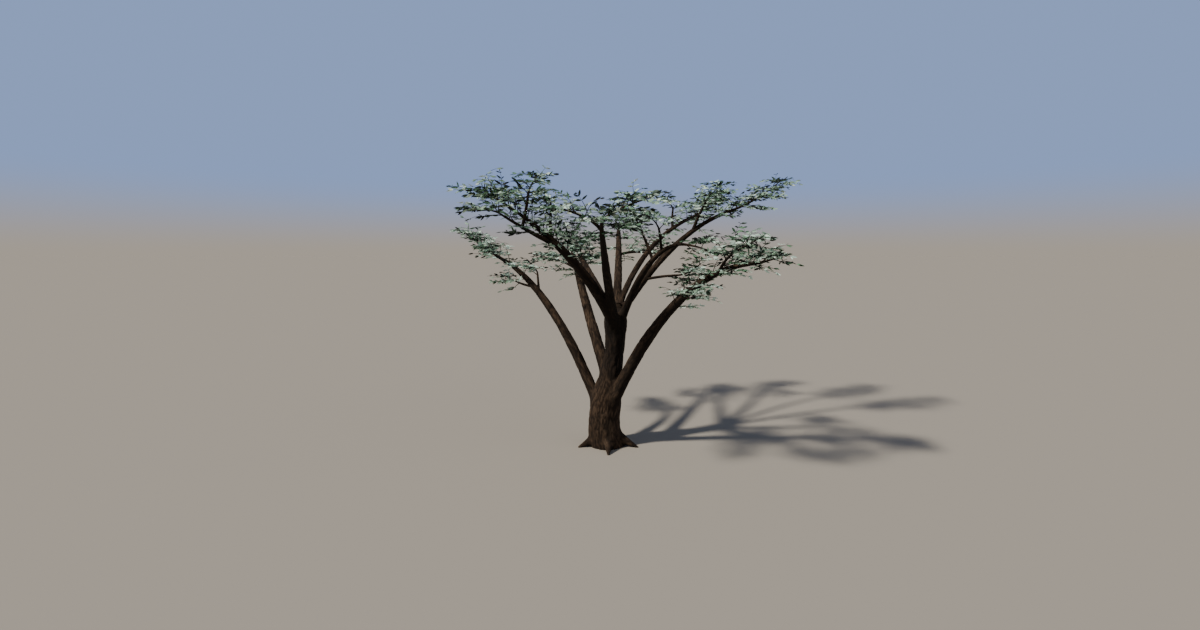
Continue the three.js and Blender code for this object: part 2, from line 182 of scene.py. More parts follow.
LEAFY = {
    "left_low": Leafy(0.74, 0.85, 1.0, 0.6, 115), "right_low": Leafy(0.52, 1.5, 1.0, 0.7, 132),
    "back_left": Leafy(0.86, 1.2, 1.0, 0.5), "front_right": Leafy(0.88, 0.3, 0.8, 0.4),
    "front_left": Leafy(0.60, 1.0, 1.0, 0.8, 75), "right": Leafy(0.70, 0.9, 0.75, 0.45),
    "front": Leafy(0.92, 0.9, 0.7, 0.35), "back": Leafy(0.74, 1.0, 1.0, 0.4),
    "back_right": Leafy(0.80, 1.0, 1.0, 0.45), "back_inner": Leafy(0.74, 1.5, 1.0, 0.5),
    "front_left_lower": Leafy(0.15, 0.9, 0.9, 0.5, 150),
    "front_left_middle": Leafy(0.40, 1.2, 0.8, 0.5),
    "front_left_inner": Leafy(0.30, 0.8, 0.7, 0.4),
    "left_low_upper": Leafy(0.60, 0.6, 1.0, 0.5), "left_low_outer": Leafy(0.55, 0.4, 0.9, 0.5),
    "back_left_outer": Leafy(0.40, 0.3, 0.9, 0.5), "front_outer": Leafy(0.45, 1.2, 1.0, 0.8, 100),
    "back_lower": Leafy(0.10, 0.7, 1.0, 0.6), "back_right_upper": Leafy(0.75, 0.6, 0.9, 0.4),
    "front_right_inner": Leafy(0.20, 1.2, 1.0, 0.45),
    "front_right_upper": Leafy(0.50, 0.6, 0.9, 0.45), "right_upper": Leafy(0.20, 1.1, 1.0, 0.45),
    "right_lower": Leafy(0.60, 0.3, 0.8, 0.4), "right_low_upper": Leafy(0.40, 1.3, 1.0, 0.7),
    "right_low_under": Leafy(0.20, 1.0, 0.8, 0.4, 100),
}


def linear(code):
    """An sRGB hex colour as linear red, green and blue."""
    shares = [int(code[i:i + 2], 16) / 255 for i in (1, 3, 5)]
    return [s / 12.92 if s <= 0.04045 else ((s + 0.055) / 1.055) ** 2.4 for s in shares]


def length_setting(name, about, default, least):
    return bpy.props.FloatProperty(
        name=name, description=about, default=default, min=least, unit="LENGTH")


def colour_setting(name, about, code):
    return bpy.props.FloatVectorProperty(
        name=name, description=about, subtype="COLOR", default=linear(code))


class OliveBarkSettings(bpy.types.PropertyGroup):
    """Sizes and colours of the bark"""
    grid: length_setting("Skin grid", "Grid that the trunk and boughs are fused on", 0.0134, 0.006)
    crotch: length_setting("Crotch fillet", "How softly one limb flows into another", 0.024, 0.001)
    furrow: length_setting("Furrow spacing", "Distance between furrows round a limb", 0.055, 0.01)
    furrow_run: length_setting("Furrow length", "Length of a furrow along a limb", 0.26, 0.02)
    depth: length_setting("Furrow depth", "Depth of the furrows on the trunk", 0.010, 0.0)
    furrow_colour: colour_setting("Furrow colour", "Bark in the furrows", "#1d150e")
    plate_colour: colour_setting(
        "Plate colour", "Bark on the plates between the furrows", "#48382a")
    worn_colour: colour_setting("Weathered colour", "Older, greyer bark on the plates", "#594838")
    # Painted shade: the near-black that bark is mixed toward on undersides and round the fork
    painted_shade_colour: colour_setting(
        "Painted shade colour", "Bark on undersides and round the fork", "#0b0806")
    twig_colour: colour_setting("Twig colour", "Bark of twigs and shoots", "#14170e")


class OliveCrownSettings(bpy.types.PropertyGroup):
    """Sizes of the stems, twigs and leaves"""
    stem_tip: length_setting("Stem tip", "Thickness of a stem at its tip", 0.014, 0.002)
    twig_root: length_setting(
        "Twig thickness", "Thickness of a twig where it leaves its stem", 0.015, 0.002)
    twig_tip: length_setting("Twig tip", "Thickness of a twig at its tip", 0.007, 0.001)
    shoot_root: length_setting(
        "Shoot thickness", "Thickness of a leafy shoot at its root", 0.006, 0.001)
    pair_spacing: length_setting(
        "Pair spacing", "Distance between two pairs of leaves on a shoot", 0.07, 0.01)
    leaf_length: length_setting("Leaf length", "Length of a full-grown leaf", 0.1, 0.02)
    leaf_width: length_setting("Leaf width", "Width of a full-grown leaf", 0.029, 0.005)


class OliveStageSettings(bpy.types.PropertyGroup):
    """The light, the backdrop and the floor"""
    key_power: bpy.props.FloatProperty(
        name="Key light", description="Strength of the broad light from the left",
        default=3.8, min=0.0)
    key_colour: colour_setting("Key colour", "Warm white of the lights", "#fff9ee")
    backdrop_colour: colour_setting(
        "Backdrop colour", "Pale blue-grey of the backdrop over the floor", "#8ea5d4")
    floor_colour: colour_setting("Floor colour", "Pale matt floor", "#afa79a")


# Curves

CURVE_SAMPLES = 200


def size_of(vectors):
    return np.linalg.norm(vectors, axis=-1)


def unit(vectors):
    return vectors / size_of(vectors)[..., None]


def dot(a, b):
    return (a * b).sum(axis=-1)


def heading(azimuth, slope):
    a = math.radians(azimuth)
    s = math.radians(slope)
    return np.array((math.cos(a) * math.cos(s), math.sin(a) * math.cos(s), math.sin(s)))


def point_on(line, share):
    """Points of a Bezier curve at shares of it, by repeated interpolation of its handles."""
    share = np.asarray(share, float)[..., None]
    layer = [np.asarray(handle, float) for handle in line]
    while len(layer) > 1:
        layer = [a + (b - a) * share for a, b in zip(layer, layer[1:])]
    # One handle alone is repeated for every share.
    return layer[0] + 0.0 * share


def heading_on(line, share):
    steps = [np.asarray(b, float) - np.asarray(a, float) for a, b in zip(line, line[1:])]
    return unit(point_on(steps, share))


def run_of(points):
    """The way along a line of points, from 0 at its first."""
    return np.concatenate(([0.0], np.cumsum(size_of(np.diff(points, axis=0)))))


def even_shares(line, count):
    """Shares of a curve that part it into even lengths."""
    fine = np.linspace(0.0, 1.0, CURVE_SAMPLES)
    run = run_of(point_on(line, fine))
    return np.interp(np.linspace(0.0, run[-1], count), run, fine)


@functools.cache
def limb_line(name):
    """The middle line of the trunk or of a limb, as the solids have it, in metres."""
    if name == "trunk":
        return [np.array(point) * MM for point in TRUNK_LINE]
    limb = LIMBS[name]
    start = point_on(limb_line(limb.parent), limb.at)
    out = heading(limb.azimuth, 0)
    tip = start + (out * limb.reach + UP * limb.climb) * MM
    side = np.cross(UP, out)
    middle = (start + tip) / 2 + (UP * limb.rise + side * limb.sway) * MM
    return [start, middle, tip]


@functools.cache
def stem_line(name):
    """The line of the stem that grows on from a limb's tip."""
    limb = LIMBS[name]
    line = limb_line(name)
    along = heading_on(line, 1.0)
    start = line[-1] + along * JOINT_GAP * MM
    reach = limb.leafy_reach * MM
    middle = start + along * reach * STEM_BEND
    return [start, middle, start + heading(limb.leafy_azimuth, limb.leafy_slope) * reach]


def root_line(number):
    out = heading(ROOT_FIRST_AZIMUTH + 360 / ROOT_COUNT * number, 0)
    return [(out * reach + UP * height) * MM for reach, height in ROOT_LINE]


def trunk_radius(share):
    at, radius = np.array(TRUNK_GIRTH).T
    return np.interp(share, at, radius) * MM


def limb_radius(name, share):
    limb = LIMBS[name]
    taper = limb.thick + (limb.thin - limb.thick) * share ** LIMB_TAPER
    collar = 1 + LIMB_COLLAR * np.maximum(0.0, 1 - share / COLLAR_SHARE) ** 2
    return taper / 2 * collar * MM


def root_radius(share):
    return (ROOT_THICK + (ROOT_THIN - ROOT_THICK) * share) / 2 * MM


# The crown's rule, drawn in the same order as for the solids

DRAW_FACTOR, DRAW_STEP, DRAW_RANGE = 1664525, 1013904223, 2**32

# Shares of a twig or leaf at which there has to be room for it
TWIG_CHECKS, FINE_TWIG_CHECKS, LEAF_CHECKS = (0.5, 1.0), (0.6, 1.0), (0.5, 1.0)


class Draws:
    """Random numbers from 0 to 1 that repeat for a seed."""

    def __init__(self, seed):
        self.state = seed

    def next(self):
        self.state = (self.state * DRAW_FACTOR + DRAW_STEP) % DRAW_RANGE
        return self.state / DRAW_RANGE

    def spread(self, middle, span):
        return middle + (self.next() - 0.5) * span


@functools.cache
def crown_space():
    """Points along every stem and limb, which share the crown's space out among the masses."""
    shares = np.linspace(0.0, 1.0, SPACE_SAMPLES + 1)
    fine = np.linspace(0.0, 1.0, 2 * SPACE_SAMPLES + 1)
    stems = np.array([point_on(stem_line(name), shares) for name in LIMBS])
    limbs = np.concatenate([point_on(limb_line(name), fine) for name in LIMBS])
    radii = np.concatenate([limb_radius(name, fine) for name in LIMBS])
    return stems, limbs, radii


def clear_of_limbs(place):
    _, limbs, radii = crown_space()
    return np.all(size_of(limbs - place) >= radii + LIMB_CLEAR * MM)


def within_reach(place):
    low, high = np.array(CAD_BOX)
    margin = OVERREACH * MM
    return np.all((place > low - margin) & (place < high + margin), axis=-1)


def in_space(owner, place):
    """A place belongs to a mass if its stem is the nearest one and no limb is in the way."""
    stems, _, _ = crown_space()
    far = size_of(stems - place).min(axis=1)
    others = np.delete(far, owner)
    return others.min() >= far[owner] + MASS_CLEAR * MM and clear_of_limbs(place)


def across(along):
    """The sideways and upward directions across a heading."""
    side = unit(np.cross(along, UP))
    return side, np.cross(side, along)


def forked(along, fork, roll):
    side, over = across(along)
    f = math.radians(fork)
    r = math.radians(roll)
    return along * math.cos(f) + (over * math.cos(r) + side * math.sin(r)) * math.sin(f)


def turned(vector, axis, angle):
    """A vector turned about an axis that it is square to."""
    return vector * math.cos(angle) + np.cross(axis, vector) * math.sin(angle)


class Shoot(NamedTuple):
    """A leafy shoot: its root, which way it points, the way its face looks, and its length."""
    root: np.ndarray
    along: np.ndarray
    face: np.ndarray
    length: float


def shoot_at(line, share, fork, roll, draws, longest=SPRAY["length"]):
    along = forked(heading_on(line, share), fork, roll)
    along = unit(along * (1, 1, SPRAY["level"]))
    tilt = math.radians(draws.spread(0, SPRAY["tilt"]))
    face = turned(across(along)[1], along, tilt)
    length = longest * draws.spread(1, SPRAY["length_spread"]) * MM
    return Shoot(point_on(line, share), along, face, length)


def twig_at(line, share, fork, roll, longest, draws, up_share=TWIG["up_share"]):
    """A twig that forks from a line, the longer the more level it lies."""
    start = point_on(line, share)
    along = forked(heading_on(line, share), fork, roll)
    length = longest * (1 + (up_share - 1) * abs(along[2]))
    length *= draws.spread(1, TWIG["length_spread"])
    return [start, start + along * length * MM]


def longest_twig(name):
    reach = LIMBS[name].leafy_reach
    return min(max(TWIG["share"] * reach, TWIG["shortest"]), TWIG["longest"])


def twig_on_stem(name, share, hand, draws):
    """A twig to one side of a mass's stem, the shorter the nearer to its tip."""
    fork = draws.spread(TWIG["fork"], TWIG["fork_spread"])
    roll = hand * draws.spread(TWIG["roll"], TWIG["roll_spread"])
    longest = longest_twig(name) * (1 + (TWIG["tip_share"] - 1) * share)
    return twig_at(stem_line(name), share, fork, roll, longest, draws)


def shoots_on(twig, draws, spacing=SPRAY["spacing"], longest=SPRAY["length"]):
    """The shoot at a twig's end and the pairs along it."""
    length = size_of(twig[1] - twig[0]) / MM
    nodes = max(1, math.floor((1 - SPRAY["first"]) * length / spacing + 0.5))
    end_roll = draws.spread(0, 360)
    shoots = [shoot_at(twig, TWIG["leaf_share"], SPRAY["end_fork"], end_roll, draws, longest)]
    for i in range(nodes):
        share = SPRAY["first"] + (SPRAY["last"] - SPRAY["first"]) * (i + 0.5) / nodes
        for hand in (-1, 1):
            fork = draws.spread(SPRAY["fork"], SPRAY["fork_spread"])
            roll = hand * draws.spread(SPRAY["roll"], SPRAY["roll_spread"])
            shoots.append(shoot_at(twig, share, fork, roll, draws, longest))
    return shoots


def grow_mass(owner, name):
    """The twigs and leafy shoots of one mass, as the solids have them."""
    draws = Draws(SEED_FIRST + SEED_STEP * owner)
    stem = stem_line(name)
    count = max(2, math.floor(LIMBS[name].leafy_reach / TWIG["spacing"] + 0.5))
    twigs = []
    shoots = [shoot_at(stem, STEM_LEAF_SHARE, 0, 0, draws)]
    for i in range(count):
        share = TWIG["first"] + (TWIG["last"] - TWIG["first"]) * i / (count - 1)
        twig = twig_on_stem(name, share, 1 if i % 2 else -1, draws)
        grown = shoots_on(twig, draws)
        if all(in_space(owner, point_on(twig, at)) for at in TWIG_CHECKS):
            twigs.append(twig)
            shoots += grown
    kept = [s for s in shoots if in_space(owner, s.root + s.along * s.length)]
    return twigs, kept


def finer_twigs(name, draws):
    """More twigs along the leafy part of a limb and its stem, turned evenly from side to side."""
    limb, stem, leafy = limb_line(name), stem_line(name), LEAFY[name]
    on_limb = np.linspace(leafy.start, 1.0, SPACE_SAMPLES)
    on_stem = np.linspace(FINE_TWIG["first"], FINE_TWIG["last"], SPACE_SAMPLES)
    points = np.concatenate((point_on(limb, on_limb), point_on(stem, on_stem)))
    run = run_of(points) / MM
    count = math.floor(run[-1] / FINE_TWIG["spacing"] * leafy.density + 0.5)
    twigs = []
    for i in range(count):
        place = (i + 0.5) / count
        share = np.interp(place * run[-1], run, np.concatenate((on_limb, on_stem + 1)))
        line, share = (limb, share) if share < 1 else (stem, min(share - 1, 1.0))
        roll = ((i * FINE_TWIG["roll_turn"]) % 1 - 0.5) * 2 * leafy.roll
        roll = draws.spread(roll, FINE_TWIG["roll_spread"])
        fork = draws.spread(TWIG["fork"], TWIG["fork_spread"])
        length = np.interp(place, (0.0, FINE_TWIG["fullest"], 1.0), FINE_TWIG["lengths"])
        longest = longest_twig(name) * length * leafy.length
        twig = twig_at(line, share, fork, roll, longest, draws, leafy.lift)
        clear = all(clear_of_limbs(point_on(twig, at)) for at in FINE_TWIG_CHECKS)
        if clear and within_reach(twig[1]):
            twigs.append(twig)
    return twigs


def grow_finer(owner, name, twigs):
    """More twigs on a mass's limb and stem, and more shoots on its old and new twigs."""
    draws = Draws(FINE_SEED + SEED_STEP * owner)
    added = finer_twigs(name, draws)
    shoots = []
    for twig in twigs + added:
        shoots += shoots_on(twig, draws, FINE_SHOOT_SPACING, FINE_SHOOT_LENGTH)
    tips = [s.root + s.along * s.length for s in shoots]
    kept = [s for s, tip in zip(shoots, tips) if clear_of_limbs(tip) and within_reach(tip)]
    return added, kept


@functools.cache
def grow_crown():
    """All twigs and shoots, mass by mass."""
    twigs = []
    shoots = []
    for owner, name in enumerate(LIMBS):
        grown, leafy = grow_mass(owner, name)
        finer, more = grow_finer(owner, name, grown)
        twigs += grown + finer
        shoots += leafy + more
    return twigs, shoots


# Meshes from arrays

STEEP = 0.9  # a line that starts steeper than this takes its first side from X


def swept(lines, radii, sides):
    """Rings of corners round many lines at once, with each ring's outward directions."""
    along = unit(np.gradient(lines, axis=1))
    side = np.empty_like(lines)
    square = np.where(np.abs(along[:, :1, 2:]) < STEEP, UP, (1.0, 0.0, 0.0))
    side[:, 0] = unit(np.cross(along[:, 0], square[:, 0]))
    for i in range(1, lines.shape[1]):
        last = side[:, i - 1]
        side[:, i] = unit(last - dot(last, along[:, i])[:, None] * along[:, i])
    over = np.cross(along, side)
    turn = np.arange(sides) * 2 * math.pi / sides
    out = side[:, :, None] * np.cos(turn)[:, None] + over[:, :, None] * np.sin(turn)[:, None]
    return lines[:, :, None] + radii[:, :, None, None] * out, out


def swept_faces(count, rings, sides):
    """The walls and the two ends of that many tubes."""
    ring = np.arange(rings - 1)[:, None] * sides
    turn = np.arange(sides)
    after = (turn + 1) % sides
    walls = np.stack((ring + turn, ring + after, ring + sides + after, ring + sides + turn), 2)
    first = np.arange(count)[:, None, None] * rings * sides
    faces = (first + walls.reshape(1, -1, 4)).reshape(-1, 4).tolist()
    starts = np.arange(count)[:, None] * rings * sides
    faces += (starts + turn[::-1]).tolist()
    faces += (starts + (rings - 1) * sides + turn).tolist()
    return faces


def new_piece(name, corners, faces):
    mesh = bpy.data.meshes.new(name)
    mesh.from_pydata(corners.reshape(-1, 3), [], faces)
    piece = bpy.data.objects.new(name, mesh)
    bpy.context.scene.collection.objects.link(piece)
    return piece


def only(piece):
    """Makes a piece the active object and the only one selected."""
    bpy.ops.object.select_all(action="DESELECT")
    piece.select_set(True)
    bpy.context.view_layer.objects.active = piece


def smooth_by(piece, crease):
    only(piece)
    bpy.ops.object.shade_smooth_by_angle(angle=math.radians(crease))


def hand_over(piece, nodes):
    """A finished piece rides on the tree's one body and stands for its nodes."""
    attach(piece, "root")
    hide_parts(*nodes)


# Bark

class Lines(NamedTuple):
    """Limbs' middle lines, sampled evenly: arrays by line and sample."""
    centre: np.ndarray
    along: np.ndarray
    side: np.ndarray
    radius: np.ndarray
    run: np.ndarray


LINE_SAMPLES, TUBE_RESOLUTION = 65, 6
CHUNK = 6000  # points measured at a time
SETTLE_ROUNDS = 4
FAINT = 0.02  # a limb that shapes the skin by less than this share has no part in its bark

# Furrows wander by this much per metre across and along a limb, and rise to plates this steeply.
WANDER, PLATE_STEEP = (9, 9, 5), 3.2
# Lumps against furrows: how much finer, how much shorter, and how far off in the noise
LUMP_FINE, LUMP_SHORT, LUMP_APART = 1.7, 3.0, 7
# Relief against a limb's radius, its least depth in metres, its level and the share of lumps in it
RELIEF_SHARE, RELIEF_LEAST, RELIEF_LEVEL, LUMP_SHARE = 0.07, 0.0012, 0.8, 0.3
# Limbs swell by a share of their radius: how often round them, how long in metres, how far apart
SWELL_SHARE, SWELL_ROUND, SWELL_RUN, SWELL_APART = 0.05, 1.2, 0.45, 5.3
GRAIN_APART = (0.37, 0.71, 1.9)  # from the grain of one limb to the next, in metres

# Painted shade: bark keeps its colour where it looks up and is darkened where it looks down;
# the two ends as the height of its outward direction. Above the crown's foot it has to look up
# further to escape the painted shade, and further still round the fork.
SHADED_TO_LIT, DEEPEST_PAINTED_SHADE = (-0.55, 0.05), 0.2
CROWN_FOOT, CROWN_FADE, CROWN_SHADE = 0.85, 0.5, 0.2
FORK_PLACE, FORK_REACH, FORK_FADE, FORK_SHADE = (0.09, 0.0), 0.55, 0.3, 0.3


def sampled_lines(lines, radii):
    """Samples curves with radii by share of length, and carries a side direction along each."""
    centre = np.array([point_on(line, even_shares(line, LINE_SAMPLES)) for line in lines])
    share = np.linspace(0.0, 1.0, LINE_SAMPLES)
    radius = np.array([radius_at(share) for radius_at in radii])
    along = unit(np.gradient(centre, axis=1))
    _, out = swept(centre, radius, 4)
    step = size_of(centre[:, 1] - centre[:, 0])
    run = step[:, None] * np.arange(LINE_SAMPLES)
    return Lines(centre, along, out[:, :, 0], radius, run)


def nearest_samples(lines, points):
    """For each point and line, the number of the line's nearest sample."""
    flat = lines.centre.reshape(-1, 3)
    near = np.empty((len(points), len(lines.centre)), int)
    for first in range(0, len(points), CHUNK):
        part = points[first:first + CHUNK]
        far = dot(flat, flat) - 2.0 * part @ flat.T
        near[first:first + CHUNK] = far.reshape(len(part), *lines.radius.shape).argmin(axis=2)
    return near


class Measure(NamedTuple):
    """Points against lines: height over the bark, way out, and place on the sampled line."""
    height: np.ndarray
    out: np.ndarray
    near: np.ndarray
    step: np.ndarray


def measure(lines, points):
    number = np.arange(len(lines.centre))
    near = nearest_samples(lines, points)
    along = lines.along[number, near]
    offset = points[:, None] - lines.centre[number, near]
    half = (lines.run[:, 1] / 2)[None]
    step = np.clip(dot(offset, along), -half, half)
    across_line = offset - step[..., None] * along
    far = size_of(across_line)
    taper = np.gradient(lines.radius, axis=1) / lines.run[:, 1:2]
    radius = lines.radius[number, near] + taper[number, near] * step
    return Measure(far - radius, across_line / far[..., None], near, step)


def shares_of(found, fillet):
    """How far each line shapes the skin at each point, and the skin's height there."""
    lowest = found.height.min(axis=1, keepdims=True)
    pull = np.exp((lowest - found.height) / fillet)
    total = pull.sum(axis=1, keepdims=True)
    return pull / total, lowest[:, 0] - fillet * np.log(total[:, 0])


def settle(lines, points, fillet):
    """Moves points onto the limbs' common skin, which is filleted where limbs meet."""
    for _ in range(SETTLE_ROUNDS):
        found = measure(lines, points)
        share, height = shares_of(found, fillet)
        way = unit((share[..., None] * found.out).sum(axis=1))
        points = points - height[:, None] * way
    return points


def bark_at(place, settings):
    """Bark at a place on the grain: 0 in a furrow to 1 on a plate, and lumps of -1 to 1."""
    wander = noise.noise([way * often for way, often in zip(place, WANDER)])
    x, y = place[0] / settings.furrow, place[1] / settings.furrow
    z = place[2] / settings.furrow_run
    crack = noise.noise((x + wander, y - wander, z))
    lump = noise.noise((x * LUMP_FINE, y * LUMP_FINE, z * LUMP_SHORT + LUMP_APART))
    return min(1.0, abs(crack) * PLATE_STEEP), lump


def dress_bark(corners, out, places, girth, settings):
    """Lifts corners by the bark's relief. Returns them and the share of plate at each."""
    bark = np.array([bark_at(place, settings) for place in places])
    depth = np.clip(girth * RELIEF_SHARE, RELIEF_LEAST, settings.depth)
    lift = depth * (bark[:, 0] - RELIEF_LEVEL + LUMP_SHARE * bark[:, 1])
    return corners + lift[:, None] * out, bark[:, 0]


def painted_light_share(corners, out):
    """Painted shade on the bark: 1 where none, less on undersides, least in the crown and round its
    fork.
    """
    within = np.clip((corners[:, 2] - CROWN_FOOT) / CROWN_FADE, 0.0, 1.0)
    far = size_of(corners[:, :2] - FORK_PLACE)
    close = np.clip((FORK_REACH - far) / FORK_FADE, 0.0, 1.0)
    shade = within * (CROWN_SHADE + FORK_SHADE * close)
    return np.interp(out[:, 2] - shade, SHADED_TO_LIT, (DEEPEST_PAINTED_SHADE, 1.0))


def keep_grain(mesh, grain, plate, painted_light):
    """Keeps each corner's place on the grain, share of plate and how far painted shade darkens it,
    for the material.
    """
    kept = (("grain", grain, "FLOAT_VECTOR", "vector"), ("plate", plate, "FLOAT", "value"),
            ("painted_light", painted_light, "FLOAT", "value"))
    for name, values, kind, key in kept:
        stored = mesh.attributes.new(name, kind, "POINT")
        stored.data.foreach_set(key, values.astype(np.float32).ravel())


def grain_at(lines, found, chosen):
    """Places on the grain of the chosen line at each point, its radius and its swelling there."""
    row = np.arange(len(chosen))
    near = found.near[row, chosen]
    out = found.out[row, chosen]
    side = lines.side[chosen, near]
    over = np.cross(lines.along[chosen, near], side)
    radius = lines.radius[chosen, near]
    run = lines.run[chosen, near] + found.step[row, chosen]
    around = np.stack((dot(out, side), dot(out, over)), axis=1)
    seen = np.column_stack((around * SWELL_ROUND, run / SWELL_RUN + chosen * SWELL_APART))
    swell = np.array([noise.noise(place) for place in seen])
    grain = np.column_stack((around * radius[:, None], run)) + chosen[:, None] * GRAIN_APART
    return grain, radius, swell


def add_limb_tube(centre, radius):
    """A path along a limb, thickened to its girth and turned into a mesh."""
    bpy.ops.curve.primitive_nurbs_path_add()
    path = bpy.context.object
    path.data.splines.clear()
    spline = path.data.splines.new("POLY")
    spline.points.add(len(centre) - 1)
    spline.points.foreach_set("co", np.column_stack((centre, np.ones(len(centre)))).ravel())
    spline.points.foreach_set("radius", radius)
    path.data.bevel_depth = 1.0
    path.data.bevel_resolution = TUBE_RESOLUTION
    path.data.use_fill_caps = True
    bpy.ops.object.convert(target="MESH")
    return bpy.context.object


def fuse(tubes, grid):
    """Joins tubes and fuses them on a voxel grid into one closed skin."""
    bpy.ops.object.select_all(action="DESELECT")
    for tube in tubes:
        tube.select_set(True)
    bpy.context.view_layer.objects.active = tubes[0]
    bpy.ops.object.join()
    skin = bpy.context.object
    fusing = skin.modifiers.new("fuse", "REMESH")
    fusing.mode = "VOXEL"
    fusing.voxel_size = grid
    bpy.ops.object.modifier_apply(modifier=fusing.name)
    return skin


def corners_of(mesh):
    flat = np.empty(len(mesh.vertices) * 3, np.float32)
    mesh.vertices.foreach_get("co", flat)
    return flat.reshape(-1, 3).astype(float)


def cut_at_ground(piece):
    only(piece)
    bpy.ops.object.mode_set(mode="EDIT")
    bpy.ops.mesh.select_all(action="SELECT")
    bpy.ops.mesh.bisect(plane_co=(0, 0, 0), plane_no=(0, 0, 1), use_fill=True, clear_inner=True)
    bpy.ops.object.mode_set(mode="OBJECT")


# Materials

def add_node(tree, kind, inputs=None, **settings):
    """Adds a node with its settings, and sets or links its inputs."""
    node = tree.nodes.new("ShaderNode" + kind)
    for name, value in settings.items():
        setattr(node, name, value)
    for name, value in (inputs or {}).items():
        if isinstance(value, bpy.types.NodeSocket):
            tree.links.new(value, node.inputs[name])
        else:
            node.inputs[name].default_value = value
    return node


def new_material(name, inputs):
    """A material whose shader has these inputs."""
    material = bpy.data.materials.new(name)
    material.use_nodes = True
    shader = material.node_tree.nodes["Principled BSDF"]
    for key, value in inputs.items():
        shader.inputs[key].default_value = value
    return material, material.node_tree, shader


# Sockets of a colour mix: its factor, its two colours and its result
FACTOR, FIRST, SECOND, RESULT = 0, 6, 7, 2
BARK = "Olive bark, furrowed, with painted shade"


def olive_bark(settings):
    """Old olive bark is loose cork, split along the limb: dull and dark in furrows, with painted
    shade on undersides.
    """
    material, tree, shader = new_material(BARK, {"Roughness": 0.9, "Specular IOR Level": 0.2})
    grain = add_node(tree, "Attribute", attribute_name="grain")
    plate = add_node(tree, "Attribute", attribute_name="plate")
    stretched = add_node(tree, "Mapping", {
        "Vector": grain.outputs["Vector"], "Scale": (1.0, 1.0, 0.22)})
    # Flakes about 18 mm wide, drawn out along the grain
    flakes = add_node(tree, "TexNoise", {
        "Vector": stretched.outputs["Vector"], "Scale": 1 / 0.018, "Detail": 5.0,
        "Roughness": 0.62})
    # Weathered patches about 0.3 m across
    patches = add_node(tree, "TexNoise", {
        "Vector": grain.outputs["Vector"], "Scale": 1 / 0.3, "Detail": 3.0})
    worn = add_node(tree, "MapRange", {
        "Value": patches.outputs["Fac"], "From Min": 0.42, "From Max": 0.66})
    top = add_node(tree, "Mix", {
        FACTOR: worn.outputs["Result"], FIRST: (*settings.plate_colour, 1),
        SECOND: (*settings.worn_colour, 1)}, data_type="RGBA")
    # Plates are flecked by the flakes, and furrows keep their own dark colour.
    fleck = add_node(tree, "MapRange", {
        "Value": flakes.outputs["Fac"], "From Min": 0.36, "From Max": 0.62})
    share = add_node(tree, "Math", {
        0: plate.outputs["Fac"], 1: fleck.outputs["Result"]}, operation="MULTIPLY")
    colour = add_node(tree, "Mix", {
        FACTOR: share.outputs["Value"], FIRST: (*settings.furrow_colour, 1),
        SECOND: top.outputs[RESULT]}, data_type="RGBA")
    # Painted shade: the stored share mixes the bark toward near-black on undersides and round the
    # fork.
    painted_light = add_node(tree, "Attribute", attribute_name="painted_light")
    with_painted_shade = add_node(tree, "Mix", {
        FACTOR: painted_light.outputs["Fac"], FIRST: (*settings.painted_shade_colour, 1),
        SECOND: colour.outputs[RESULT]}, data_type="RGBA")
    bump = add_node(tree, "Bump", {
        "Height": flakes.outputs["Fac"], "Strength": 0.7, "Distance": 0.006})
    tree.links.new(with_painted_shade.outputs[RESULT], shader.inputs["Base Color"])
    tree.links.new(bump.outputs["Normal"], shader.inputs["Normal"])
    return material


def twig_bark(settings):
    """Young olive bark is thin and close: matt grey-brown, mottled by small pores."""
    material, tree, shader = new_material("Olive twig bark, smooth and matt", {"Roughness": 0.8})
    place = add_node(tree, "TexCoord")
    # Mottling about 25 mm across
    mottle = add_node(tree, "TexNoise", {
        "Vector": place.outputs["Object"], "Scale": 1 / 0.025, "Detail": 3.0})
    colour = add_node(tree, "Mix", {
        FACTOR: mottle.outputs["Fac"], FIRST: (*settings.furrow_colour, 1),
        SECOND: (*settings.twig_colour, 1)}, data_type="RGBA")
    tree.links.new(colour.outputs[RESULT], shader.inputs["Base Color"])
    return material


def leaf_upper(tint, code):
    """The upper side of an olive leaf is leathery and waxed, so it is dark with a soft gloss; pale
    uppers are painted light.
    """
    return new_material(f"Olive leaf, waxed upper side, {tint}", {
        "Base Color": (*linear(code), 1), "Roughness": 0.6, "Specular IOR Level": 0.2})[0]


def leaf_under(tint, code):
    """The under side is covered in fine silvery scales, so it is pale and dull; the darkest is
    painted shade.
    """
    return new_material(f"Olive leaf, downy under side, {tint}", {
        "Base Color": (*linear(code), 1), "Roughness": 0.75, "Sheen Weight": 0.15})[0]


def matt_floor(settings):
    """Painted studio floor: pale, even and without gloss."""
    return new_material("Matt floor paint", {
        "Base Color": (*settings.floor_colour, 1), "Roughness": 1.0, "Specular IOR Level": 0.0})[0]


# Pieces

SKIN_NODES = ["trunk"] + [f"bough_{name}" for name in BOUGHS]
BRANCH_NODES = [f"branch_{name}" for name in BRANCHES]
FOLIAGE_NODES = [f"foliage_{name}" for name in LIMBS]


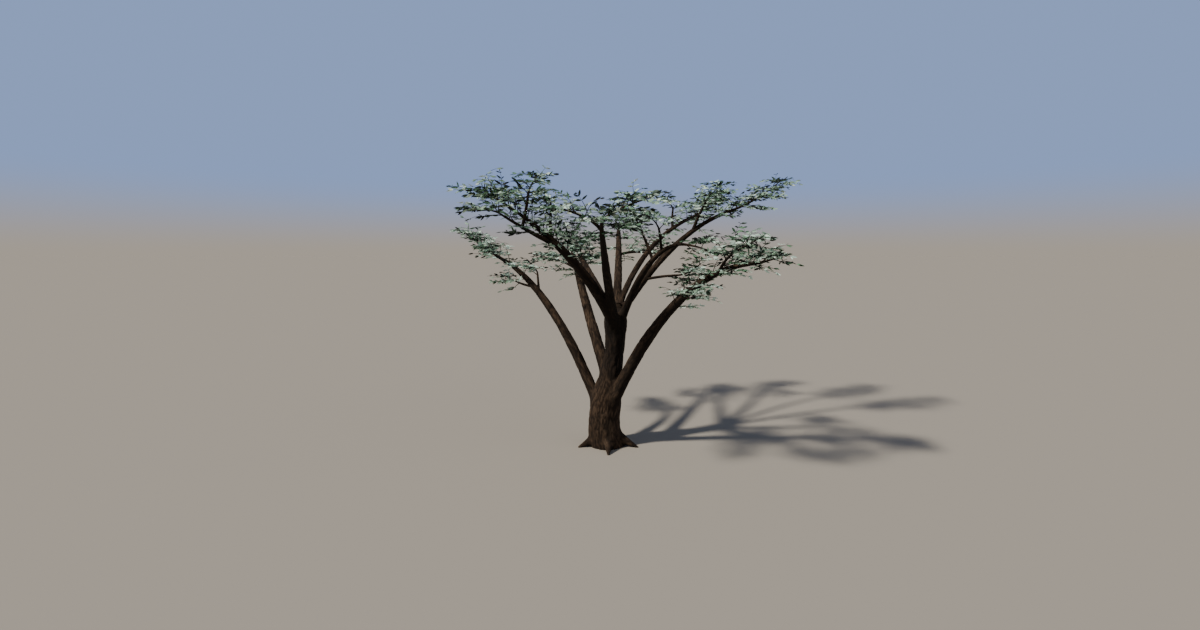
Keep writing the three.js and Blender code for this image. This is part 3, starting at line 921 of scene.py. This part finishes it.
class OliveSkin(bpy.types.Operator):
    """Fuses the trunk, its root buttresses and the boughs into one skin and gives it bark"""
    bl_idname = "mesh.olive_skin"
    bl_label = "Trunk and boughs"

    def execute(self, context):
        settings = context.scene.olive_bark
        curves = [limb_line("trunk"), *map(root_line, range(ROOT_COUNT)), *map(limb_line, BOUGHS)]
        radii = [trunk_radius] + [root_radius] * ROOT_COUNT
        radii += [functools.partial(limb_radius, name) for name in BOUGHS]
        lines = sampled_lines(curves, radii)
        tubes = [add_limb_tube(c, r) for c, r in zip(lines.centre, lines.radius)]
        skin = fuse(tubes, settings.grid)
        skin.name = skin.data.name = "trunk_and_boughs"

        points = settle(lines, corners_of(skin.data), settings.crotch)
        found = measure(lines, points)
        share, _ = shares_of(found, settings.crotch)
        way = unit((share[..., None] * found.out).sum(axis=1))
        ranked = np.argsort(-share, axis=1)[:, :2]
        lifted = np.zeros_like(points)
        plates = np.zeros(len(points))
        weight = np.take_along_axis(share, ranked, axis=1)
        weight = np.where(weight < FAINT, 0.0, weight)
        weight /= weight.sum(axis=1, keepdims=True)
        for rank in (1, 0):
            some = np.flatnonzero(weight[:, rank])
            part = Measure(*(array[some] for array in found))
            grain, girth, swell = grain_at(lines, part, ranked[some, rank])
            dressed, plate = dress_bark(points[some], way[some], grain, girth, settings)
            dressed += (SWELL_SHARE * girth * swell)[:, None] * way[some]
            lifted[some] += weight[some, rank, None] * dressed
            plates[some] += weight[some, rank] * plate
        skin.data.vertices.foreach_set("co", lifted.astype(np.float32).ravel())
        # Each corner also keeps how far painted shade darkens its bark.
        keep_grain(skin.data, grain, plates, painted_light_share(points, way))
        cut_at_ground(skin)
        bpy.ops.object.shade_smooth()
        skin.data.materials.clear()
        skin.data.materials.append(olive_bark(settings))
        hand_over(skin, SKIN_NODES)
        return {"FINISHED"}


STEM_RINGS, STEM_SIDES = 60, 12
BOUGH_OVERLAP = 0.05
WOOD_CREASE, TWIG_CREASE, LEAF_CREASE = 60, 80, 60  # degrees from which an edge stays sharp


def stem_with_limb(name, tip):
    """A limb's end or a whole branch, and the stem that grows on from it, as one tapering line."""
    limb = LIMBS[name]
    first = 0.0 if name in BRANCHES else 1 - BOUGH_OVERLAP
    wood = np.linspace(first, 1.0, STEM_RINGS)
    leafy = np.linspace(0.0, 1.0, STEM_RINGS)
    points = np.concatenate((point_on(limb_line(name), wood), point_on(stem_line(name), leafy)))
    stem_radius = limb.thin * STEM_FIT / 2 * MM * (1 - leafy) + tip / 2 * leafy
    radius = np.concatenate((limb_radius(name, wood) * STEM_FIT, stem_radius))
    run = run_of(points)
    even = np.linspace(0.0, run[-1], STEM_RINGS)
    line = np.column_stack([np.interp(even, run, points[:, axis]) for axis in range(3)])
    return line, np.interp(even, run, radius), even


class OliveBranches(bpy.types.Operator):
    """Gives bark to the branches and to the stems that grow on from the limbs"""
    bl_idname = "mesh.olive_branches"
    bl_label = "Branches and stems"

    def execute(self, context):
        settings = context.scene.olive_bark
        grown = [stem_with_limb(name, context.scene.olive_crown.stem_tip) for name in LIMBS]
        lines, radii, runs = (np.array(part) for part in zip(*grown))
        corners, out = swept(lines, radii, STEM_SIDES)
        turn = np.arange(STEM_SIDES) * 2 * math.pi / STEM_SIDES
        girth, run = (np.repeat(part[..., None], STEM_SIDES, axis=2) for part in (radii, runs))
        number = np.arange(len(LIMBS))[:, None, None, None]
        grain = np.stack((girth * np.cos(turn), girth * np.sin(turn), run), axis=3)
        grain = (grain + number * GRAIN_APART).reshape(-1, 3)
        girth = girth.ravel()
        out = out.reshape(-1, 3)
        corners, plate = dress_bark(corners.reshape(-1, 3), out, grain, girth, settings)
        faces = swept_faces(len(LIMBS), STEM_RINGS, STEM_SIDES)
        piece = new_piece("branches_and_stems", corners, faces)
        # The stems get the same painted shade on their undersides.
        keep_grain(piece.data, grain, plate, painted_light_share(corners, out))
        smooth_by(piece, WOOD_CREASE)
        piece.data.materials.append(bpy.data.materials[BARK])
        hand_over(piece, BRANCH_NODES)
        return {"FINISHED"}


TWIG_RINGS, TWIG_SIDES = 7, 6
SHOOT_RINGS, SHOOT_SIDES = 5, 4
TWIG_BOW, SHOOT_BOW = 0.05, 0.09


def bowed(start, end, way, bow):
    """A line between two points that bows to one side by a share of its length."""
    length = size_of(end - start)
    return [start, (start + end) / 2 + 2 * bow * length * way, end]


@functools.cache
def twig_lines():
    twigs, _ = grow_crown()
    return [bowed(start, end, across(unit(end - start))[1], TWIG_BOW) for start, end in twigs]


@functools.cache
def shoot_lines():
    _, shoots = grow_crown()
    return [bowed(s.root, s.root + s.along * s.length, s.face, SHOOT_BOW) for s in shoots]


class OliveTwigs(bpy.types.Operator):
    """Grows the twigs and the leafy shoots on them"""
    bl_idname = "mesh.olive_twigs"
    bl_label = "Twigs and shoots"

    def execute(self, context):
        crown = context.scene.olive_crown
        corners = []
        faces = []
        kinds = (
            (twig_lines(), TWIG_RINGS, TWIG_SIDES, crown.twig_root, crown.twig_tip),
            (shoot_lines(), SHOOT_RINGS, SHOOT_SIDES, crown.shoot_root, crown.shoot_root / 2),
        )
        for lines, rings, sides, root, tip in kinds:
            points = np.array([point_on(line, np.linspace(0, 1, rings)) for line in lines])
            radii = np.tile(np.linspace(root / 2, tip / 2, rings), (len(lines), 1))
            first = sum(len(part) for part in corners)
            ringed = swept(points, radii, sides)[0].reshape(-1, 3)
            grown = swept_faces(len(lines), rings, sides)
            faces += [[first + corner for corner in face] for face in grown]
            corners.append(ringed)
        piece = new_piece("twigs", np.concatenate(corners), faces)
        smooth_by(piece, TWIG_CREASE)
        piece.data.materials.append(twig_bark(context.scene.olive_bark))
        hand_over(piece, FOLIAGE_NODES)
        return {"FINISHED"}


# Tints of the leaves, dealt out by shoot: name, share of the shoots, upper side and under side.
# Besides the leaf's own dark upper and pale under side, the near-black tint is painted shade and
# the pale uppers are painted light, for leaves turned from or to the light.
TINTS = (
    ("deep_painted_shade", 0.30, "#040b04", "#25402c"),
    ("green", 0.22, "#11270f", "#72a07c"),
    ("sage_painted_light", 0.24, "#93b49b", "#bddac5"),
    ("silver_painted_light", 0.24, "#c8e4d2", "#e2f4e7"),
)
TINT_SEED = 911

# A leaf along X with its face to +Z, in shares of its length, half width and rib height
LEAF_STATIONS = ((0.16, 0.62), (0.45, 1.0), (0.78, 0.62))
LEAF_RIB, LEAF_THICK, LEAF_DROOP = 0.03, 0.012, 0.10
LEAF_SHARES = {"first": 0.1, "last": 0.93, "young": 0.72, "spread": 0.34}
LEAF_FORK, LEAF_FORK_SPREAD, LEAF_ROLL_SPREAD, LEAF_TILT_SPREAD = 50, 26, 90, 200
LEAF_LEVEL = 0.5


def leaf_template():
    """Corners of one leaf, a thin closed blade, and the faces of its upper and lower side."""
    corners = [(0, 0, 0)]
    for along, wide in LEAF_STATIONS:
        corners += [(along, -wide, 0), (along, wide, 0), (along, 0, 1), (along, 0, -1)]
    corners.append((1, 0, 0))
    end = len(corners) - 1
    last = 4 * (len(LEAF_STATIONS) - 1)
    sides = []
    for left, right, middle in ((1, 2, 3), (2, 1, 4)):
        faces = [(0, left, middle), (0, middle, right)]
        for a in range(0, last, 4):
            b = a + 4
            faces.append((a + left, b + left, b + middle, a + middle))
            faces.append((a + middle, b + middle, b + right, a + right))
        faces.append((last + left, end, last + middle))
        faces.append((last + middle, end, last + right))
        sides.append(faces)
    return np.array(corners, float), *sides


def leaves_on(line, shoot, crown, draws):
    """Pairs of leaves along a shoot and one at its end: root, heading, face and length of each."""
    pairs = max(2, math.floor(shoot.length / crown.pair_spacing + 0.5))
    leaves = []
    first, last = LEAF_SHARES["first"], LEAF_SHARES["last"]
    for i in range(pairs):
        share = first + (last - first) * i / (pairs - 1)
        stalk = heading_on(line, share)
        side = unit(np.cross(stalk, shoot.face))
        over = np.cross(side, stalk)
        for hand in (-1, 1):
            fork = math.radians(draws.spread(LEAF_FORK, LEAF_FORK_SPREAD))
            roll = math.radians(draws.spread(0, LEAF_ROLL_SPREAD))
            out = side * hand * math.cos(roll) + over * math.sin(roll)
            leaves.append((share, stalk * math.cos(fork) + out * math.sin(fork)))
    leaves.append((1.0, heading_on(line, 1.0)))
    grown = []
    for share, along in leaves:
        along = unit(along * (1, 1, LEAF_LEVEL))
        tilt = math.radians(draws.spread(0, LEAF_TILT_SPREAD))
        face = turned(across(along)[1], along, tilt)
        size = 1 + (LEAF_SHARES["young"] - 1) * share
        length = crown.leaf_length * size * draws.spread(1, LEAF_SHARES["spread"])
        grown.append((point_on(line, share), along, face, length))
    return grown


def clear_leaves(leaves):
    """Leaves whose middle and tip keep clear of every limb and within the tree's reach."""
    _, limbs, radii = crown_space()
    root, along, _, length = leaves
    keep = within_reach(root + along * length[:, None])
    for share in LEAF_CHECKS:
        place = root + along * length[:, None] * share
        far = size_of(place[:, None] - limbs) - radii
        keep &= far.min(axis=1) > 0.0
    return [part[keep] for part in leaves]


class OliveLeaves(bpy.types.Operator):
    """Grows the leaves in pairs along the shoots, in one piece for each tint"""
    bl_idname = "mesh.olive_leaves"
    bl_label = "Leaves"

    def execute(self, context):
        crown = context.scene.olive_crown
        draws = Draws(TINT_SEED)
        _, shoots = grow_crown()
        dealt = [[] for _ in TINTS]
        limits = np.cumsum([share for _, share, _, _ in TINTS])
        for line, shoot in zip(shoot_lines(), shoots):
            tint = int(np.searchsorted(limits, draws.next() * limits[-1]))
            dealt[tint] += leaves_on(line, shoot, crown, draws)
        for (name, _, upper, under), leaves in zip(TINTS, dealt):
            parts = [np.array(part) for part in zip(*leaves)]
            self.add_tint(name, upper, under, clear_leaves(parts), crown)
        return {"FINISHED"}

    def add_tint(self, name, upper_code, under_code, leaves, crown):
        root, along, face, length = leaves
        side = np.cross(face, along)
        template, upper, lower = leaf_template()
        out, across_leaf, rib = template.T
        wide = crown.leaf_width / crown.leaf_length / 2
        lift = np.where(across_leaf == 0, LEAF_RIB, 0.0) * ((out > 0) & (out < 1))
        lift = lift + rib * LEAF_THICK / 2 - LEAF_DROOP * out**2
        local = np.stack((out, across_leaf * wide, lift), axis=1)
        frame_of = np.stack((along, side, face), axis=1) * length[:, None, None]
        corners = root[:, None] + np.einsum("ck,nkx->ncx", local, frame_of)
        first = np.arange(len(root)) * len(template)
        faces = [[f + corner for corner in one] for f in first.tolist() for one in upper + lower]
        piece = new_piece(f"leaves_{name}", corners, faces)
        looks = np.tile([0] * len(upper) + [1] * len(lower), len(root))
        piece.data.materials.append(leaf_upper(name, upper_code))
        piece.data.materials.append(leaf_under(name, under_code))
        piece.data.polygons.foreach_set("material_index", looks.astype(np.int32))
        smooth_by(piece, LEAF_CREASE)
        hand_over(piece, FOLIAGE_NODES)


# The camera stands where the photograph was taken. Its image is taken as 1200 pixels wide.
CAMERA_PLACE = (-0.124, -8.2, 2.925)
CAMERA_PITCH = -6.32
CAMERA_FOCUS, IMAGE_WIDTH, SENSOR_WIDTH = 546, 1200, 36.0
KEY_FROM, KEY_BREADTH = (-0.67, -0.32, 0.69), 4
FILL_FROM, FILL_BREADTH, FILL_SHARE = (0.8, -0.5, 0.5), 60, 0.1
FLOOR_SIZE, LIGHT_AWAY = 2000.0, 10

# The backdrop changes from the floor's tone to its own between the horizon and this sine of height.
# On a smooth step the floor takes 0.3 of that sine squared of its even light from the lower tone.
BACKDROP_TOP = 0.13
LOWER_LIGHT = 0.3 * BACKDROP_TOP**2
# The backdrop lights the tree and the floor by this share of its own tone.
BACKDROP_LIGHT = 0.32


def add_soft_light(name, come_from, breadth, power, colour):
    """A far, broad light that falls evenly over the whole floor."""
    bpy.ops.object.light_add(type="SUN", location=Vector(come_from) * LIGHT_AWAY)
    light = bpy.context.object
    light.name = name
    light.data.angle = math.radians(breadth)
    light.data.energy = power
    light.data.color = colour
    light.rotation_euler = Vector(come_from).to_track_quat("Z", "Y").to_euler()


def lit_floor(settings):
    """The tone of the open floor under the lights and the backdrop."""
    floor = np.array(settings.floor_colour)
    lights = ((KEY_FROM, 1.0), (FILL_FROM, FILL_SHARE))
    steep = sum(Vector(come_from).normalized().z * share for come_from, share in lights)
    direct = np.array(settings.key_colour) * settings.key_power * steep / math.pi
    upper = np.array(settings.backdrop_colour) * (1 - LOWER_LIGHT) * BACKDROP_LIGHT
    return floor * (direct + upper) / (1 - floor * LOWER_LIGHT * BACKDROP_LIGHT)


def light_backdrop(world, settings):
    """A plain backdrop all round that meets the floor in the floor's own tone, without a seam."""
    world.use_nodes = True
    tree = world.node_tree
    way = add_node(tree, "TexCoord")
    height = add_node(tree, "SeparateXYZ", {"Vector": way.outputs["Generated"]})
    rise = add_node(tree, "MapRange", {
        "Value": height.outputs["Z"], "From Max": BACKDROP_TOP}, interpolation_type="SMOOTHSTEP")
    colour = add_node(tree, "Mix", {
        FACTOR: rise.outputs["Result"], FIRST: (*lit_floor(settings), 1),
        SECOND: (*settings.backdrop_colour, 1)}, data_type="RGBA")
    path = add_node(tree, "LightPath")
    strength = add_node(tree, "MapRange", {
        "Value": path.outputs["Is Camera Ray"], "To Min": BACKDROP_LIGHT})
    tree.links.new(colour.outputs[RESULT], tree.nodes["Background"].inputs["Color"])
    tree.links.new(strength.outputs["Result"], tree.nodes["Background"].inputs["Strength"])


class OliveStage(bpy.types.Operator):
    """Adds the pale floor, the soft light and the camera"""
    bl_idname = "scene.olive_stage"
    bl_label = "Stage"

    def execute(self, context):
        settings = context.scene.olive_stage
        bpy.ops.mesh.primitive_plane_add(size=FLOOR_SIZE)
        floor = context.object
        floor.name = "floor"
        floor.data.materials.append(matt_floor(settings))
        key, colour = settings.key_power, settings.key_colour
        add_soft_light("key", KEY_FROM, KEY_BREADTH, key, colour)
        add_soft_light("fill", FILL_FROM, FILL_BREADTH, key * FILL_SHARE, colour)
        world = bpy.data.worlds.new("Backdrop")
        context.scene.world = world
        light_backdrop(world, settings)
        tilt = math.radians(90 + CAMERA_PITCH)
        bpy.ops.object.camera_add(location=CAMERA_PLACE, rotation=(tilt, 0, 0))
        camera = context.object
        camera.data.sensor_width = SENSOR_WIDTH
        camera.data.lens = CAMERA_FOCUS / IMAGE_WIDTH * SENSOR_WIDTH
        context.scene.camera = camera
        return {"FINISHED"}


class OlivePanel(bpy.types.Panel):
    """Lists the tree's settings and the steps that build it"""
    bl_idname = "VIEW3D_PT_olive_tree"
    bl_label = "Olive tree"
    bl_space_type = "VIEW_3D"
    bl_region_type = "UI"
    bl_category = "Olive tree"

    def draw(self, context):
        for name in SETTINGS:
            box = self.layout.box()
            group = getattr(context.scene, name)
            for key in group.__annotations__:
                box.prop(group, key)
        for step in STEPS:
            self.layout.operator(step.bl_idname)


SETTINGS = {
    "olive_bark": OliveBarkSettings,
    "olive_crown": OliveCrownSettings,
    "olive_stage": OliveStageSettings,
}
STEPS = (OliveSkin, OliveBranches, OliveTwigs, OliveLeaves, OliveStage)


def register():
    for one in (*SETTINGS.values(), *STEPS, OlivePanel):
        bpy.utils.register_class(one)
    for name, group in SETTINGS.items():
        setattr(bpy.types.Scene, name, bpy.props.PointerProperty(type=group))


def unregister():
    for name in SETTINGS:
        delattr(bpy.types.Scene, name)
    for one in reversed((*SETTINGS.values(), *STEPS, OlivePanel)):
        bpy.utils.unregister_class(one)


def main():
    register()
    bpy.ops.object.select_all(action="DESELECT")
    bpy.ops.mesh.olive_skin()
    bpy.ops.mesh.olive_branches()
    bpy.ops.mesh.olive_twigs()
    bpy.ops.mesh.olive_leaves()
    bpy.ops.scene.olive_stage()


if __name__ == "__main__":
    main()
